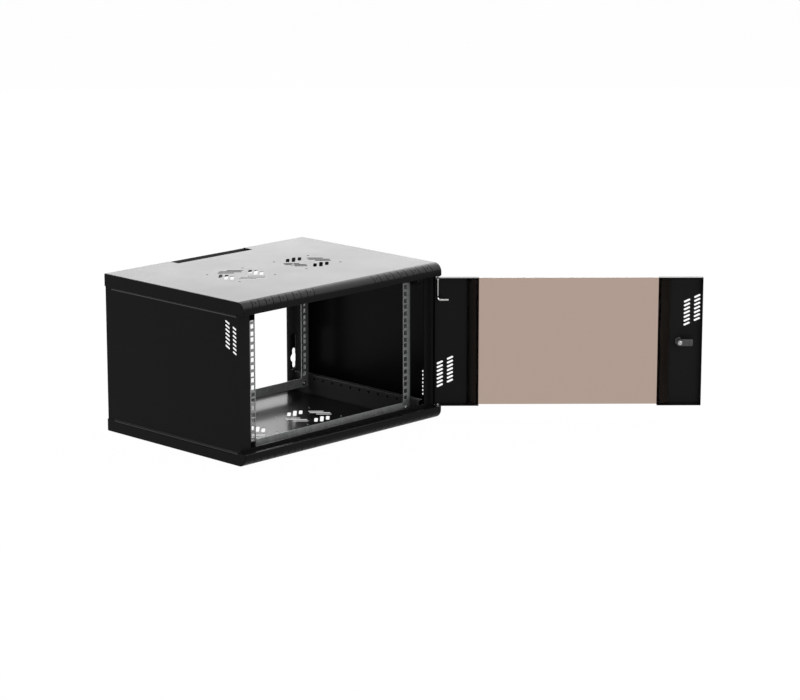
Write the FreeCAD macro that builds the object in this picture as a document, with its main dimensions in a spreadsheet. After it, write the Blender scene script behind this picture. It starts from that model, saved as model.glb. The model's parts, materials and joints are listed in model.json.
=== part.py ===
import FreeCAD, Part
import os
import re

# Wall-mounted 19 inch rack cabinet, six units high, with its glass door swung open.
# Origin: centre of the underside.  X to the right, Y to the back, Z up, millimetres.

SIZES = {
    # casing
    "width": 600,
    "depth": 450,
    "height": 356,
    "sheet": 1,
    "nose_radius": 20,
    "lip_height": 28,
    "edge_radius": 1.8,
    "rear_flange": 15,
    "notch_width": 226,
    "notch_depth": 32,
    # fan openings in both lids
    "fan_spacing": 200,
    "fan_screw_square": 105,
    "fan_screw_hole": 5.5,
    "fan_group_radius": 40,
    "fan_group_shift": 4,
    "fan_slot_width": 8,
    "fan_slot_long": 50,
    "fan_slot_short": 37,
    "fan_slot_pitch": 13,
    "fan_slot_stagger": 9.2,
    # slots in the rounded lips
    "lip_slot_edge": 30,
    "lip_slot_pitch": 20,
    "lip_slot_width": 1.5,
    "lip_slot_length": 20,
    "lip_eye": 2,
    "lip_slot_tilt": 14,
    # side panels
    "panel_front_gap": 16.5,
    "panel_rear_gap": 1.5,
    "panel_gap": 0.2,
    "panel_tongue": 13,
    "seam_gap": 0.2,
    "rib_radius": 3.2,
    "rib_drop": 4.6,
    "rib_end": 22.5,
    # slanted vent slots in panels and door
    "vent_length": 15,
    "vent_width": 4.4,
    "vent_pitch": 8.8,
    "vent_tilt": 25,
    "vent_column": 22.7,
    "vent_step": 10.5,
    "panel_vent_setback": 29.2,
    "panel_vent_rise": 92.5,
    "door_vent_edge": 34.3,
    "door_vent_rise": 65.2,
    # posts and channels
    "frame_sheet": 1.5,
    "front_post_width": 33,
    "front_post_inner_return": 3,
    "front_post_outer_return": 6,
    "post_tab": 16,
    "sill_rise": 6.5,
    "rear_post_width": 69.4,
    "rear_post_depth": 20.3,
    "rear_post_back_width": 52,
    "access_width": 20,
    "access_height": 86,
    "access_inset": 52.6,
    "access_z": 93,
    "keyhole_inset": 30.9,
    "keyhole_z": 72,
    "keyhole_slot": 10,
    "keyhole_height": 47,
    "keyhole_bulge": 21,
    "cross_member_height": 34,
    "channel_height": 45.8,
    "channel_flange": 14,
    "channel_hole": 6.6,
    "channel_hole_z": 38,
    # 19 inch rails
    "rack_spacing": 465.1,
    "rack_unit": 44.45,
    "rack_hole_gap": 15.875,
    "rail_margin": 7.55,
    "rail_width": 22.5,
    "rail_flange": 16,
    "rail_tab": 26,
    "rail_bolt_back": 13,
    "rail_setback": 60,
    "rail_end": 19.2,
    "cage_hole": 9.5,
    "bar_height": 21,
    "bar_flange": 14,
    "bar_flange_end": 8,
    "bar_screw_rise": 8.8,
    "bolt_diameter": 6,
    "bolt_head": 10,
    "bolt_head_height": 4,
    "bolt_length": 10,
    "nut_diameter": 11,
    "nut_height": 5,
    # door, drawn closed and then swung open
    "door_open": 135,
    "door_side_gap": 0.3,
    "door_bottom_gap": 2,
    "door_top_gap": 4,
    "stile_width": 98.7,
    "stile_flange": 14,
    "glass_overlap": 26,
    "glass_bottom_gap": 2,
    "glass_top_gap": 1.2,
    "glass_thickness": 4,
    "tape_width": 20,
    "tape_thickness": 1,
    "hinge_edge": 6.3,
    "hinge_setback": 6,
    "pin_diameter": 5,
    "turning_clearance": 0.1,
    "pin_slot_clearance": 0.3,
    "pin_reach": 4,
    "pin_bend": 6,
    "handle_drop": 51.4,
    "handle_length": 18,
    "guide_height": 2,
    "guide_width": 12,
    "guide_depth": 10,
    "guide_gap": 0.5,
    "clip_diameter": 8,
    "clip_height": 1.2,
    "clip_drop": 2.6,
    "spring_wire": 0.9,
    "spring_diameter": 6.8,
    "spring_turns": 11,
    "bush_diameter": 8,
    "bush_flange": 12,
    "bush_flange_height": 1,
    "bush_length": 3,
    "lower_pin_reach": 5,
    "lower_pin_head": 8,
    "lower_pin_head_height": 2.8,
    # lock
    "lock_edge": 50.7,
    "lock_body": 14,
    "lock_flange": 20,
    "lock_flange_height": 3,
    "lock_length": 21,
    "lock_nut": 20,
    "lock_nut_height": 4,
    "plug_diameter": 10,
    "plug_proud": 0.6,
    "plug_square": 6,
    "key_slot_width": 1.4,
    "key_slot_height": 7,
    "key_slot_depth": 4,
    "cam_width": 15.4,
    "cam_reach": 29,
    "cam_thickness": 2.5,
    "cam_gap": 0.5,
    "cam_screw": 10,
    "cam_screw_height": 3,
    "latch_clearance": 3,
    "keeper_depth": 15,
    "keeper_width": 46,
    "keeper_margin": 6,
    "cut_extra": 2,
}

X, Y, Z = FreeCAD.Vector(1, 0, 0), FreeCAD.Vector(0, 1, 0), FreeCAD.Vector(0, 0, 1)
ALONG_X = FreeCAD.Rotation(Y, Z, X, "ZXY")
ALONG_Y = FreeCAD.Rotation(Z, X, Y, "ZXY")
ALONG_Z = FreeCAD.Rotation()

doc = FreeCAD.newDocument("rack_cabinet")
sheet = doc.addObject("Spreadsheet::Sheet", "sizes")
for row, (alias, value) in enumerate(SIZES.items(), start=1):
    sheet.set(f"A{row}", alias)
    sheet.set(f"B{row}", str(value))
    sheet.setAlias(f"B{row}", alias)
doc.recompute()

ALIAS = re.compile(r"\b(" + "|".join(sorted(SIZES, key=len, reverse=True)) + r")\b")
nodes = []


def bind(obj, prop, formula):
    obj.setExpression(prop, ALIAS.sub(r"sizes.\1", formula))


def place(obj, at, turn=ALONG_Z):
    """Puts an object at three formulas, turned by a fixed rotation or, about z, by a formula."""
    if isinstance(turn, str):
        obj.Placement = FreeCAD.Placement(FreeCAD.Vector(), FreeCAD.Rotation(Z, 1))
        bind(obj, "Placement.Rotation.Angle", turn)
    else:
        obj.Placement = FreeCAD.Placement(FreeCAD.Vector(), turn)
    for axis, formula in zip("xyz", at):
        bind(obj, f"Placement.Base.{axis}", formula)
    return obj


def plate(name, x, y, z):
    """A box between two formulas along each axis."""
    box = doc.addObject("Part::Box", name)
    for prop, (low, high) in zip(("Length", "Width", "Height"), (x, y, z)):
        bind(box, prop, f"({high}) - ({low})")
    return place(box, (x[0], y[0], z[0]))


def rod(name, diameter, length, at, turn=ALONG_Z, angle=360):
    cylinder = doc.addObject("Part::Cylinder", name)
    cylinder.Angle = angle
    bind(cylinder, "Radius", f"({diameter})/2")
    bind(cylinder, "Height", length)
    return place(cylinder, at, turn)


def union(name, pieces):
    joined = doc.addObject("Part::MultiFuse", name)
    joined.Shapes = pieces
    joined.Refine = True
    return joined


def group(name, pieces):
    together = doc.addObject("Part::Compound", name)
    together.Links = pieces
    return together


def cut(name, base, tools):
    trimmed = doc.addObject("Part::Cut", name)
    trimmed.Base = base
    trimmed.Tool = group(name + "_tools", tools)
    trimmed.Refine = True
    return trimmed


def mirrored(name, source, normal, base_z="0"):
    image = doc.addObject("Part::Mirroring", name)
    image.Source = source
    image.Normal = normal
    bind(image, "Base.z", base_z)
    return image


def slot(name, length, width, through, at, turn=ALONG_Z):
    """A hole with round ends: long along its own x, cut along its own z."""
    run = f"({length}) - ({width})"
    bar = plate(name + "_bar", (f"-({run})/2", f"({run})/2"), (f"-({width})/2", f"({width})/2"),
                (f"-({through})/2", f"({through})/2"))
    ends = [rod(f"{name}_end{i}", width, through, (f"{side}({run})/2", "0", f"-({through})/2"))
            for i, side in enumerate("+-")]
    return place(union(name, [bar] + ends), at, turn)


def node(label, obj):
    obj.Label = label
    nodes.append(obj)
    return obj


HINGE_X = "(width/2 - door_side_gap - hinge_edge)"
HINGE_Y = "(hinge_setback - depth/2)"
SWING = (f"{HINGE_X}*(1 - cos(door_open)) + {HINGE_Y}*sin(door_open)",
         f"{HINGE_Y}*(1 - cos(door_open)) - {HINGE_X}*sin(door_open)", "0")


def door_node(label, obj):
    """A piece of the door: drawn closed, turned about the hinge to its open place."""
    swung = place(group(label + "_open", [obj]), SWING, "door_open")
    return node(label, swung)


FRONT, REAR, LEFT, RIGHT = "-depth/2", "depth/2", "-width/2", "width/2"
MID = "height/2"
FULL_X = (LEFT, RIGHT)
NOSE_Y = "nose_radius - depth/2"
NOSE_Z = "height - nose_radius"
LIP_Z = "height - lip_height"
RIB_SEAT_Z = "lip_height - rib_drop"
INSIDE_X = "(width/2 - 2*sheet - seam_gap)"


# Lids: one folded shell, perforated, used upright for the bottom by mirroring it.
def lid_shell():
    quarter = FreeCAD.Rotation(Z, -Y, X, "ZXY")
    nose = cut("nose", rod("nose_outer", "2*nose_radius", "width", (LEFT, NOSE_Y, NOSE_Z), quarter, 90),
               [rod("nose_inner", "2*(nose_radius - sheet)", "width", (LEFT, NOSE_Y, NOSE_Z), quarter, 90)])
    pieces = [
        nose,
        plate("lid_face", FULL_X, (NOSE_Y, REAR), ("height - sheet", "height")),
        plate("lip_front", FULL_X, (FRONT, "sheet - depth/2"), (LIP_Z, NOSE_Z)),
        plate("lip_under", FULL_X, (FRONT, NOSE_Y), (LIP_Z, f"{LIP_Z} + sheet")),
        plate("lip_back", FULL_X, (f"{NOSE_Y} - sheet", NOSE_Y), (LIP_Z, "height")),
        plate("lid_back", FULL_X, ("depth/2 - sheet", REAR), ("height - rear_flange", "height")),
    ]
    for side, x in (("left", LEFT), ("right", "width/2 - sheet")):
        span = (x, f"{x} + sheet")
        pieces.append(plate(f"flange_{side}", span, (NOSE_Y, REAR), (LIP_Z, "height")))
        pieces.append(plate(f"cheek_{side}", span, (FRONT, NOSE_Y), (LIP_Z, NOSE_Z)))
        pieces.append(rod(f"cheek_round_{side}", "2*nose_radius", "sheet", (x, NOSE_Y, NOSE_Z), quarter, 90))
    return union("lid_shell", pieces)


def fold_rounding(name, y, z, y_in, z_in):
    """What a round fold takes off an edge along x; y_in and z_in are the signs towards the sheet."""
    def reach(at, sign):
        inner, outer = f"{at} {sign} edge_radius", f"{at} {'-' if sign == '+' else '+'} cut_extra"
        return (outer, inner) if sign == "+" else (inner, outer)

    corner = plate(name + "_corner", FULL_X, reach(y, y_in), reach(z, z_in))
    return cut(name, corner, [rod(name + "_round", "2*edge_radius", "width",
                                  (LEFT, f"{y} {y_in} edge_radius", f"{z} {z_in} edge_radius"), ALONG_X)])


def side_rounding():
    """What the round side edge takes off: along the top, round the nose and down the lip."""
    inner, low, back = "width/2 - edge_radius", f"{LIP_Z} - cut_extra", f"{REAR} + cut_extra"
    deep = ("width/2 - 2*edge_radius", RIGHT)
    ring = doc.addObject("Part::Torus", "nose_ring")
    bind(ring, "Radius1", "nose_radius - edge_radius")
    bind(ring, "Radius2", "edge_radius")
    place(ring, (inner, NOSE_Y, NOSE_Z), ALONG_X)
    kept = union("side_kept", [
        ring,
        plate("side_top", deep, (NOSE_Y, back), (low, "height - edge_radius")),
        plate("side_lip", deep, (f"{FRONT} + edge_radius", NOSE_Y), (low, NOSE_Z)),
        rod("side_nose", "2*(nose_radius - edge_radius)", "2*edge_radius", (deep[0], NOSE_Y, NOSE_Z), ALONG_X),
        rod("side_top_round", "2*edge_radius", f"{back} - ({NOSE_Y})", (inner, NOSE_Y, "height - edge_radius"),
            ALONG_Y),
        rod("side_lip_round", "2*edge_radius", f"{NOSE_Z} - ({low})", (inner, f"{FRONT} + edge_radius", low)),
    ])
    outside = plate("side_outside", (inner, "width/2 + cut_extra"), (f"{FRONT} - cut_extra", back),
                    (low, "height + cut_extra"))
    return cut("side_rounding", outside, [kept])


def fan_cutters():
    """Four groups of three slots, each group a quarter turn from the last, and four screw holes."""
    tools = []
    through = "2*height"
    for quarter_turn in range(4):
        out = FreeCAD.Rotation(Z, 90 * quarter_turn).multVec(-Y)
        side = FreeCAD.Rotation(Z, 90 * quarter_turn).multVec(X)
        along = FreeCAD.Rotation(Z, 90 * quarter_turn + 45)
        run, across = along.multVec(X), along.multVec(Y)
        for step in (-1, 0, 1):
            at = [f"{round(out[i])}*fan_group_radius + {round(side[i])}*fan_group_shift"
                  f" + {step * across[i]:.6f}*fan_slot_pitch - {step * run[i]:.6f}*fan_slot_stagger"
                  for i in (0, 1)]
            length = "fan_slot_short" if step else "fan_slot_long"
            tools.append(slot(f"fan_slot_{quarter_turn}_{step + 1}", length, "fan_slot_width", through,
                              (f"fan_spacing/2 + {at[0]}", at[1], "height"), along))
        sx, sy = ((1, 1), (-1, 1), (-1, -1), (1, -1))[quarter_turn]
        tools.append(rod(f"fan_screw_hole_{quarter_turn}", "fan_screw_hole", through,
                         (f"fan_spacing/2 + {sx}*fan_screw_square/2", f"{sy}*fan_screw_square/2", "0")))
    return group("fan_cutters", tools)


def lip_cutters():
    """Slots down the rounded lip, leaning outwards, with a small hole between each pair."""
    tools = []
    for i in range(10):
        tools.append(slot(f"lip_slot_{i}", "lip_slot_length", "lip_slot_width", "nose_radius",
                          ("0", f"lip_slot_edge + {i}*lip_slot_pitch - width/2", "0"), "lip_slot_tilt"))
        if i % 2 == 0:
            between = f"lip_slot_edge + {i + 0.5}*lip_slot_pitch - width/2"
            tools.append(slot(f"lip_eye_{i}", "2*lip_eye", "lip_eye", "nose_radius", ("0", between, "0"),
                              "lip_slot_tilt"))
    up_the_nose = FreeCAD.Rotation(Y + Z, -X, Z - Y, "ZXY")
    return place(group("lip_cutters", tools),
                 ("0", f"{NOSE_Y} - nose_radius*cos(45)", f"{NOSE_Z} + nose_radius*sin(45)"), up_the_nose)


def vent_cutters():
    """Two columns of slanted slots in one plane, the second column higher than the first."""
    return group("vent_cutters", [
        slot(f"vent_{column}_{i}", "vent_length", "vent_width", "8*sheet",
             (f"vent_column*{column}", f"vent_step*{column} + vent_pitch*{i - 3}", "0"), "vent_tilt")
        for column in range(2) for i in range(7)])


vents = vent_cutters()


def vents_at(name, at, along, up):
    return place(group(name, [vents]), at, FreeCAD.Rotation(along, up, along.cross(up), "ZXY"))


fans = fan_cutters()
lips = lip_cutters()
hinge_hole = rod("hinge_hole", "bush_diameter", "lip_height", (HINGE_X, HINGE_Y, f"{LIP_Z} - lip_height/2"))
rounded = side_rounding()
shell = cut("lid_rounded", lid_shell(), [
    rounded,
    mirrored("side_rounding_left", rounded, X),
    fold_rounding("lip_fold", FRONT, LIP_Z, "+", "+"),
    fold_rounding("lip_back_fold", NOSE_Y, LIP_Z, "-", "+"),
    fold_rounding("rear_fold", REAR, "height", "-", "-"),
])
perforation = [fans, mirrored("fans_left", fans, X), lips, mirrored("lips_left", lips, X)]
lid = cut("lid", shell, perforation + [hinge_hole])
notch = plate("notch", ("-notch_width/2", "notch_width/2"), ("depth/2 - notch_depth", "depth/2 + cut_extra"),
              ("height - rear_flange - cut_extra", "height + cut_extra"))
rib_y = (f"{FRONT} + rib_end - panel_gap", f"{REAR} - rib_end + panel_gap")
rib_seat = plate("rib_seat", ("-width/2 - cut_extra", "width/2 + cut_extra"), rib_y,
                 (RIB_SEAT_Z, "lip_height + cut_extra"))
node("bottom_lid", cut("lid_below", mirrored("lid_turned", lid, Z, MID), [rib_seat]))
node("top_lid", cut("lid_above", lid, [notch]))


# Side panels: a tongue slips inside each lid, and the lower rib lies in a recess of the bottom lid's flange.
def side_panel(label, sign):
    face = f"{sign}(width/2 - sheet - seam_gap)"
    inner = f"{sign}(width/2 - 2*sheet - seam_gap)"
    deep_inside = f"{sign}(width/2 - 8*sheet)"
    across = (face, inner) if sign == "-" else (inner, face)
    inside = (inner, deep_inside) if sign == "-" else (deep_inside, inner)
    top = f"{LIP_Z} - panel_gap"
    bottom = "lip_height + panel_gap"
    face_y = (f"{FRONT} + panel_front_gap", f"{REAR} - panel_rear_gap")
    tongue_y = (f"{FRONT} + rib_end", f"{REAR} - rib_end")
    pieces = [
        plate(label + "_face", across, face_y, (bottom, top)),
        plate(label + "_tongues", across, tongue_y, (f"{bottom} - panel_tongue", f"{top} + panel_tongue")),
    ]
    for end, z in (("top", f"{top} - rib_radius"), ("bottom", f"{RIB_SEAT_Z} + panel_gap + rib_radius")):
        pieces.append(rod(f"{label}_rib_{end}", "2*rib_radius", "depth - 2*rib_end",
                          (f"{sign}(width/2 - rib_radius)", tongue_y[0], z), ALONG_Y))
    rise, up = ("+", Z) if sign == "-" else ("-", -Z)
    slots = vents_at(label + "_vents", (f"{sign}width/2", f"{FRONT} + panel_vent_setback",
                                        f"{MID} {rise} panel_vent_rise"), Y, up)
    flat_back = plate(label + "_flat_back", inside, (FRONT, REAR), ("0", "height"))
    return node(label, cut(label + "_cut", union(label + "_blank", pieces), [slots, flat_back]))


side_panel("left_side_panel", "-")
side_panel("right_side_panel", "")

FLOOR, CEILING = "sheet", "height - sheet"
POST_FACE = f"({NOSE_Y})"
POST_OUT = INSIDE_X
POST_IN = f"({INSIDE_X} - front_post_width)"


# Front posts: a folded strip with a tab at each end; the left one has a notch and a keeper for the cam.
# A sill between their feet stands a little above the lip.
def front_post_blank():
    x = (POST_IN, POST_OUT)
    tab_x = (f"{POST_IN} + frame_sheet", f"{POST_OUT} - frame_sheet")
    back = POST_FACE
    pieces = [
        plate("post_face", x, (back, f"{back} + frame_sheet"), (FLOOR, CEILING)),
        plate("post_inner", (x[0], f"{x[0]} + frame_sheet"), (back, f"{back} + front_post_inner_return"),
              (FLOOR, CEILING)),
        plate("post_outer", (f"{x[1]} - frame_sheet", x[1]), (back, f"{back} + front_post_outer_return"),
              (FLOOR, CEILING)),
        plate("post_tab_low", tab_x, (back, f"{back} + post_tab"), (FLOOR, f"{FLOOR} + frame_sheet")),
        plate("post_tab_high", tab_x, (back, f"{back} + post_tab"), (f"{CEILING} - frame_sheet", CEILING)),
    ]
    return union("front_post", pieces)


DOOR_LOW, DOOR_HIGH = "(lip_height + door_bottom_gap)", "(height - lip_height - door_top_gap)"
DOOR_RIGHT = "(width/2 - door_side_gap)"
DOOR_MID = f"({DOOR_LOW} + {DOOR_HIGH})/2"
LOCK_X = "(door_side_gap + lock_edge - width/2)"
CAM_HALF = "(cam_width/2 + latch_clearance)"

front_post = front_post_blank()
POST_BACK = f"{POST_FACE} + front_post_inner_return + cut_extra"
cam_window = plate("cam_window", (f"{LOCK_X} - cam_reach - latch_clearance", f"cut_extra - {POST_IN}"),
                   (f"{POST_FACE} - cut_extra", POST_BACK),
                   (f"{DOOR_MID} - {CAM_HALF}", f"{DOOR_MID} + {CAM_HALF}"))
cam_sweep = plate("cam_sweep", (f"-{POST_IN} - frame_sheet", f"cut_extra - {POST_IN}"),
                  (f"{POST_FACE} + frame_sheet", POST_BACK),
                  (f"{DOOR_MID} - cam_reach - latch_clearance", f"{DOOR_MID} + {CAM_HALF}"))
KEEPER_Z = (f"{DOOR_MID} - {CAM_HALF} - keeper_margin", f"{DOOR_MID} + {CAM_HALF} + keeper_margin")
KEEPER_BACK = f"{POST_FACE} + keeper_depth"
node("front_post_right", front_post)
notched = cut("front_post_notched", mirrored("front_post_mirrored", front_post, X), [cam_window, cam_sweep])
node("front_post_left", union("front_post_latched", [
    notched,
    plate("keeper_web", (f"-{POST_OUT}", f"frame_sheet - {POST_OUT}"), (POST_FACE, KEEPER_BACK), KEEPER_Z),
    plate("keeper_plate", (f"-{POST_OUT}", f"keeper_width - {POST_OUT}"),
          (f"{KEEPER_BACK} - frame_sheet", KEEPER_BACK), KEEPER_Z),
]))
node("front_sill", plate("sill", (f"-{POST_IN}", POST_IN), (POST_FACE, f"{POST_FACE} + frame_sheet"),
                         (FLOOR, "lip_height + sill_rise")))


# Rear posts: a channel open to the middle, with access holes in front and keyholes behind.
def rear_post_blank():
    back = "depth/2 - sheet"
    front = f"{back} - rear_post_depth"
    outer = INSIDE_X
    inner = f"{outer} - rear_post_width"
    channel = union("rear_channel", [
        plate("rear_front_sheet", (inner, outer), (front, f"{front} + frame_sheet"), (FLOOR, CEILING)),
        plate("rear_web", (f"{outer} - frame_sheet", outer), (front, back), (FLOOR, CEILING)),
        plate("rear_back_sheet", (f"{outer} - rear_post_back_width", outer), (f"{back} - frame_sheet", back),
              (FLOOR, CEILING)),
    ])
    upright = FreeCAD.Rotation(Z, X, Y, "ZXY")
    tools = []
    for end, z in (("low", ("access_z", "keyhole_z")), ("high", ("height - access_z", "height - keyhole_z"))):
        tools.append(slot(f"access_{end}", "access_height", "access_width", "4*frame_sheet",
                          (f"{outer} - access_inset", front, z[0]), upright))
        tools.append(slot(f"keyhole_{end}", "keyhole_height", "keyhole_slot", "4*frame_sheet",
                          (f"{outer} - keyhole_inset", back, z[1]), upright))
        tools.append(rod(f"keyhole_bulge_{end}", "keyhole_bulge", "4*frame_sheet",
                         (f"{outer} - keyhole_inset", f"{back} - 2*frame_sheet", z[1]), ALONG_Y))
    return cut("rear_post", channel, tools)


rear_post = rear_post_blank()
node("rear_post_right", rear_post)
node("rear_post_left", mirrored("rear_post_mirrored", rear_post, X))

MEMBER_BACK = "depth/2 - sheet"
MEMBER_END = f"({INSIDE_X} - rear_post_back_width)"
node("rear_top_cross_member",
     plate("cross_member", (f"-{MEMBER_END}", MEMBER_END), (f"{MEMBER_BACK} - sheet", MEMBER_BACK),
           (f"{CEILING} - cross_member_height", CEILING)))


# Side channels with a row of holes that the rails bolt to.
RAIL_IN = "(rack_spacing/2 - rail_margin)"
RAIL_OUT = "(rack_spacing/2 - rail_margin + rail_width)"
BOLT_Y = "(depth/2 - rail_setback)"


def side_channel_blank():
    web = (RAIL_OUT, f"{RAIL_OUT} + frame_sheet")
    flange = (RAIL_OUT, f"{RAIL_OUT} + channel_flange")
    y = (f"{POST_FACE} + front_post_inner_return", f"{REAR} - sheet - rear_post_depth")
    top = f"{FLOOR} + channel_height"
    channel = union("channel", [
        plate("channel_web", web, y, (FLOOR, top)),
        plate("channel_low", flange, y, (FLOOR, f"{FLOOR} + frame_sheet")),
        plate("channel_high", flange, y, (f"{top} - frame_sheet", top)),
    ])
    tools = [rod(f"channel_hole_{i}", "channel_hole", "4*frame_sheet",
                 (f"{RAIL_OUT} - frame_sheet", f"{BOLT_Y}*{1 - 2 * i / 11:.9f}", "channel_hole_z"), ALONG_X)
             for i in range(12)]
    corner = plate("channel_corner", (f"{RAIL_OUT} - cut_extra", f"{RAIL_OUT} + frame_sheet"), y,
                   (f"{top} - frame_sheet", f"{top} + cut_extra"))
    tools.append(cut("channel_fold", corner, [
        rod("channel_round", "2*frame_sheet", f"{y[1]} - ({y[0]})",
            (f"{RAIL_OUT} + frame_sheet", y[0], f"{top} - frame_sheet"), ALONG_Y)]))
    return cut("side_channel", channel, tools)


channel_right = side_channel_blank()
channel_left = mirrored("channel_mirrored", channel_right, X)
node("side_channel_bottom_right", channel_right)
node("side_channel_bottom_left", channel_left)
node("side_channel_top_right", mirrored("channel_right_high", channel_right, Z, MID))
node("side_channel_top_left", mirrored("channel_left_high", channel_left, Z, MID))

# Rails: a narrow angle with 18 square holes and, at each end, a tab that is bolted to the channel.
RAIL_FACE = {"front": f"(-{BOLT_Y} - rail_bolt_back)", "rear": f"({BOLT_Y} - rail_bolt_back)"}
RAIL_Z = ("rail_end", "height - rail_end")
UNIT_FOOT = "(height/2 - 3*rack_unit)"


def rack_holes():
    tools = []
    side = "cage_hole/2"
    y = ("-depth/2", "depth/2")
    for unit in range(6):
        for place_in_unit in (-1, 0, 1):
            z = f"{UNIT_FOOT} + {unit + 0.5}*rack_unit + {place_in_unit}*rack_hole_gap"
            tools.append(plate(f"rack_hole_{unit}_{place_in_unit + 1}",
                               (f"rack_spacing/2 - {side}", f"rack_spacing/2 + {side}"), y,
                               (f"{z} - {side}", f"{z} + {side}")))
    for end, z in BAR_SCREW_Z.items():
        tools.append(rod(f"bar_screw_hole_{end}", "bolt_diameter", "depth", ("rack_spacing/2", y[0], z),
                         ALONG_Y))
    for end, z in BOLT_Z.items():
        for row, y_bolt in BOLT_ROWS:
            tools.append(rod(f"rail_bolt_hole_{row}_{end}", "channel_hole", "6*frame_sheet",
                             (f"{RAIL_OUT} - 3*frame_sheet", y_bolt, z), ALONG_X))
    return group("rack_holes", tools)


BAR_SCREW_Z = {"low": "rail_end + bar_screw_rise", "high": "height - rail_end - bar_screw_rise"}
BOLT_Z = {"low": "channel_hole_z", "high": "height - channel_hole_z"}
BOLT_ROWS = (("front", f"-{BOLT_Y}"), ("rear", BOLT_Y))
holes = rack_holes()
RAIL_SIDE = (f"{RAIL_OUT} - frame_sheet", RAIL_OUT)
TAB_TOP = f"{FLOOR} + channel_height"
for row, face in RAIL_FACE.items():
    angle = union(f"rail_angle_{row}", [
        plate(f"rail_face_{row}", (RAIL_IN, RAIL_OUT), (face, f"{face} + frame_sheet"), RAIL_Z),
        plate(f"rail_side_{row}", RAIL_SIDE, (face, f"{face} + rail_flange"), RAIL_Z),
        plate(f"rail_tab_low_{row}", RAIL_SIDE, (face, f"{face} + rail_tab"), (RAIL_Z[0], TAB_TOP)),
        plate(f"rail_tab_high_{row}", RAIL_SIDE, (face, f"{face} + rail_tab"),
              (f"height - ({TAB_TOP})", RAIL_Z[1])),
    ])
    rail = cut(f"rail_{row}", angle, [holes])
    node(f"rail_{row}_right", rail)
    node(f"rail_{row}_left", mirrored(f"rail_{row}_mirrored", rail, X))

# Cross bars behind the rails' faces, with a stiffening flange and a screw at each end.
BAR_END = f"({RAIL_OUT} - frame_sheet)"
FLANGE_END = f"({BAR_END} - bar_flange_end)"
screws = []
for row, face in RAIL_FACE.items():
    behind = f"{face} + frame_sheet"
    bar = union(f"bar_{row}", [
        plate(f"bar_face_{row}", (f"-{BAR_END}", BAR_END), (behind, f"{behind} + frame_sheet"),
              ("rail_end", "rail_end + bar_height")),
        plate(f"bar_flange_{row}", (f"-{FLANGE_END}", FLANGE_END), (behind, f"{behind} + bar_flange"),
              ("rail_end", "rail_end + frame_sheet")),
    ])
    bored = cut(f"bar_bored_{row}", bar, [holes, mirrored(f"holes_left_{row}", holes, X)])
    node(f"cross_bar_{row}_bottom", bored)
    node(f"cross_bar_{row}_top", mirrored(f"bar_high_{row}", bored, Z, MID))
    for end, z in BAR_SCREW_Z.items():
        screw = union(f"bar_screw_{row}_{end}", [
            rod(f"bar_screw_head_{row}_{end}", "bolt_head", "bolt_head_height",
                ("rack_spacing/2", f"{face} - bolt_head_height", z), ALONG_Y),
            rod(f"bar_screw_shank_{row}_{end}", "bolt_diameter", "bolt_length", ("rack_spacing/2", face, z),
                ALONG_Y),
        ])
        screws += [screw, mirrored(f"bar_screw_left_{row}_{end}", screw, X)]
node("cross_bar_screws", group("cross_bar_screw_set", screws))

# Bolts and nuts that hold the rails to the side channels.
bolts, nuts = [], []
for row, y_bolt in BOLT_ROWS:
    for end, z in BOLT_Z.items():
        inside = f"{RAIL_OUT} - frame_sheet"
        outside = f"{RAIL_OUT} + frame_sheet"
        bolt = union(f"rail_bolt_{row}_{end}", [
            rod(f"rail_bolt_head_{row}_{end}", "bolt_head", "bolt_head_height",
                (f"{inside} - bolt_head_height", y_bolt, z), ALONG_X),
            rod(f"rail_bolt_shank_{row}_{end}", "bolt_diameter", "bolt_length", (inside, y_bolt, z), ALONG_X),
        ])
        hexagon = doc.addObject("Part::Prism", f"rail_nut_hex_{row}_{end}")
        hexagon.Polygon = 6
        bind(hexagon, "Circumradius", "nut_diameter/2")
        bind(hexagon, "Height", "nut_height")
        place(hexagon, (outside, y_bolt, z), ALONG_X)
        bore = rod(f"rail_nut_bore_{row}_{end}", "bolt_diameter", "nut_height", (outside, y_bolt, z), ALONG_X)
        nut = cut(f"rail_nut_{row}_{end}", hexagon, [bore])
        bolts += [bolt, mirrored(f"rail_bolt_left_{row}_{end}", bolt, X)]
        nuts += [nut, mirrored(f"rail_nut_left_{row}_{end}", nut, X)]
node("rail_bolts", group("rail_bolt_set", bolts))
node("rail_nuts", group("rail_nut_set", nuts))

# Hinge bushes in the lips' underside.
bush_low = f"{LIP_Z} - bush_flange_height"
upper_bush = cut("upper_bush", union("bush_body", [
    rod("bush_collar", "bush_flange", "bush_flange_height", (HINGE_X, HINGE_Y, bush_low)),
    rod("bush_barrel", "bush_diameter", "bush_flange_height + bush_length", (HINGE_X, HINGE_Y, bush_low)),
]), [rod("bush_bore", "pin_diameter + 2*turning_clearance", "bush_flange_height + bush_length",
         (HINGE_X, HINGE_Y, bush_low))])
node("upper_hinge_bush", upper_bush)
node("lower_hinge_bush", mirrored("lower_bush", upper_bush, Z, MID))

SKIN = (FRONT, "sheet - depth/2")
GLASS_END = "(width/2 - door_side_gap - stile_width + glass_overlap)"


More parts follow.
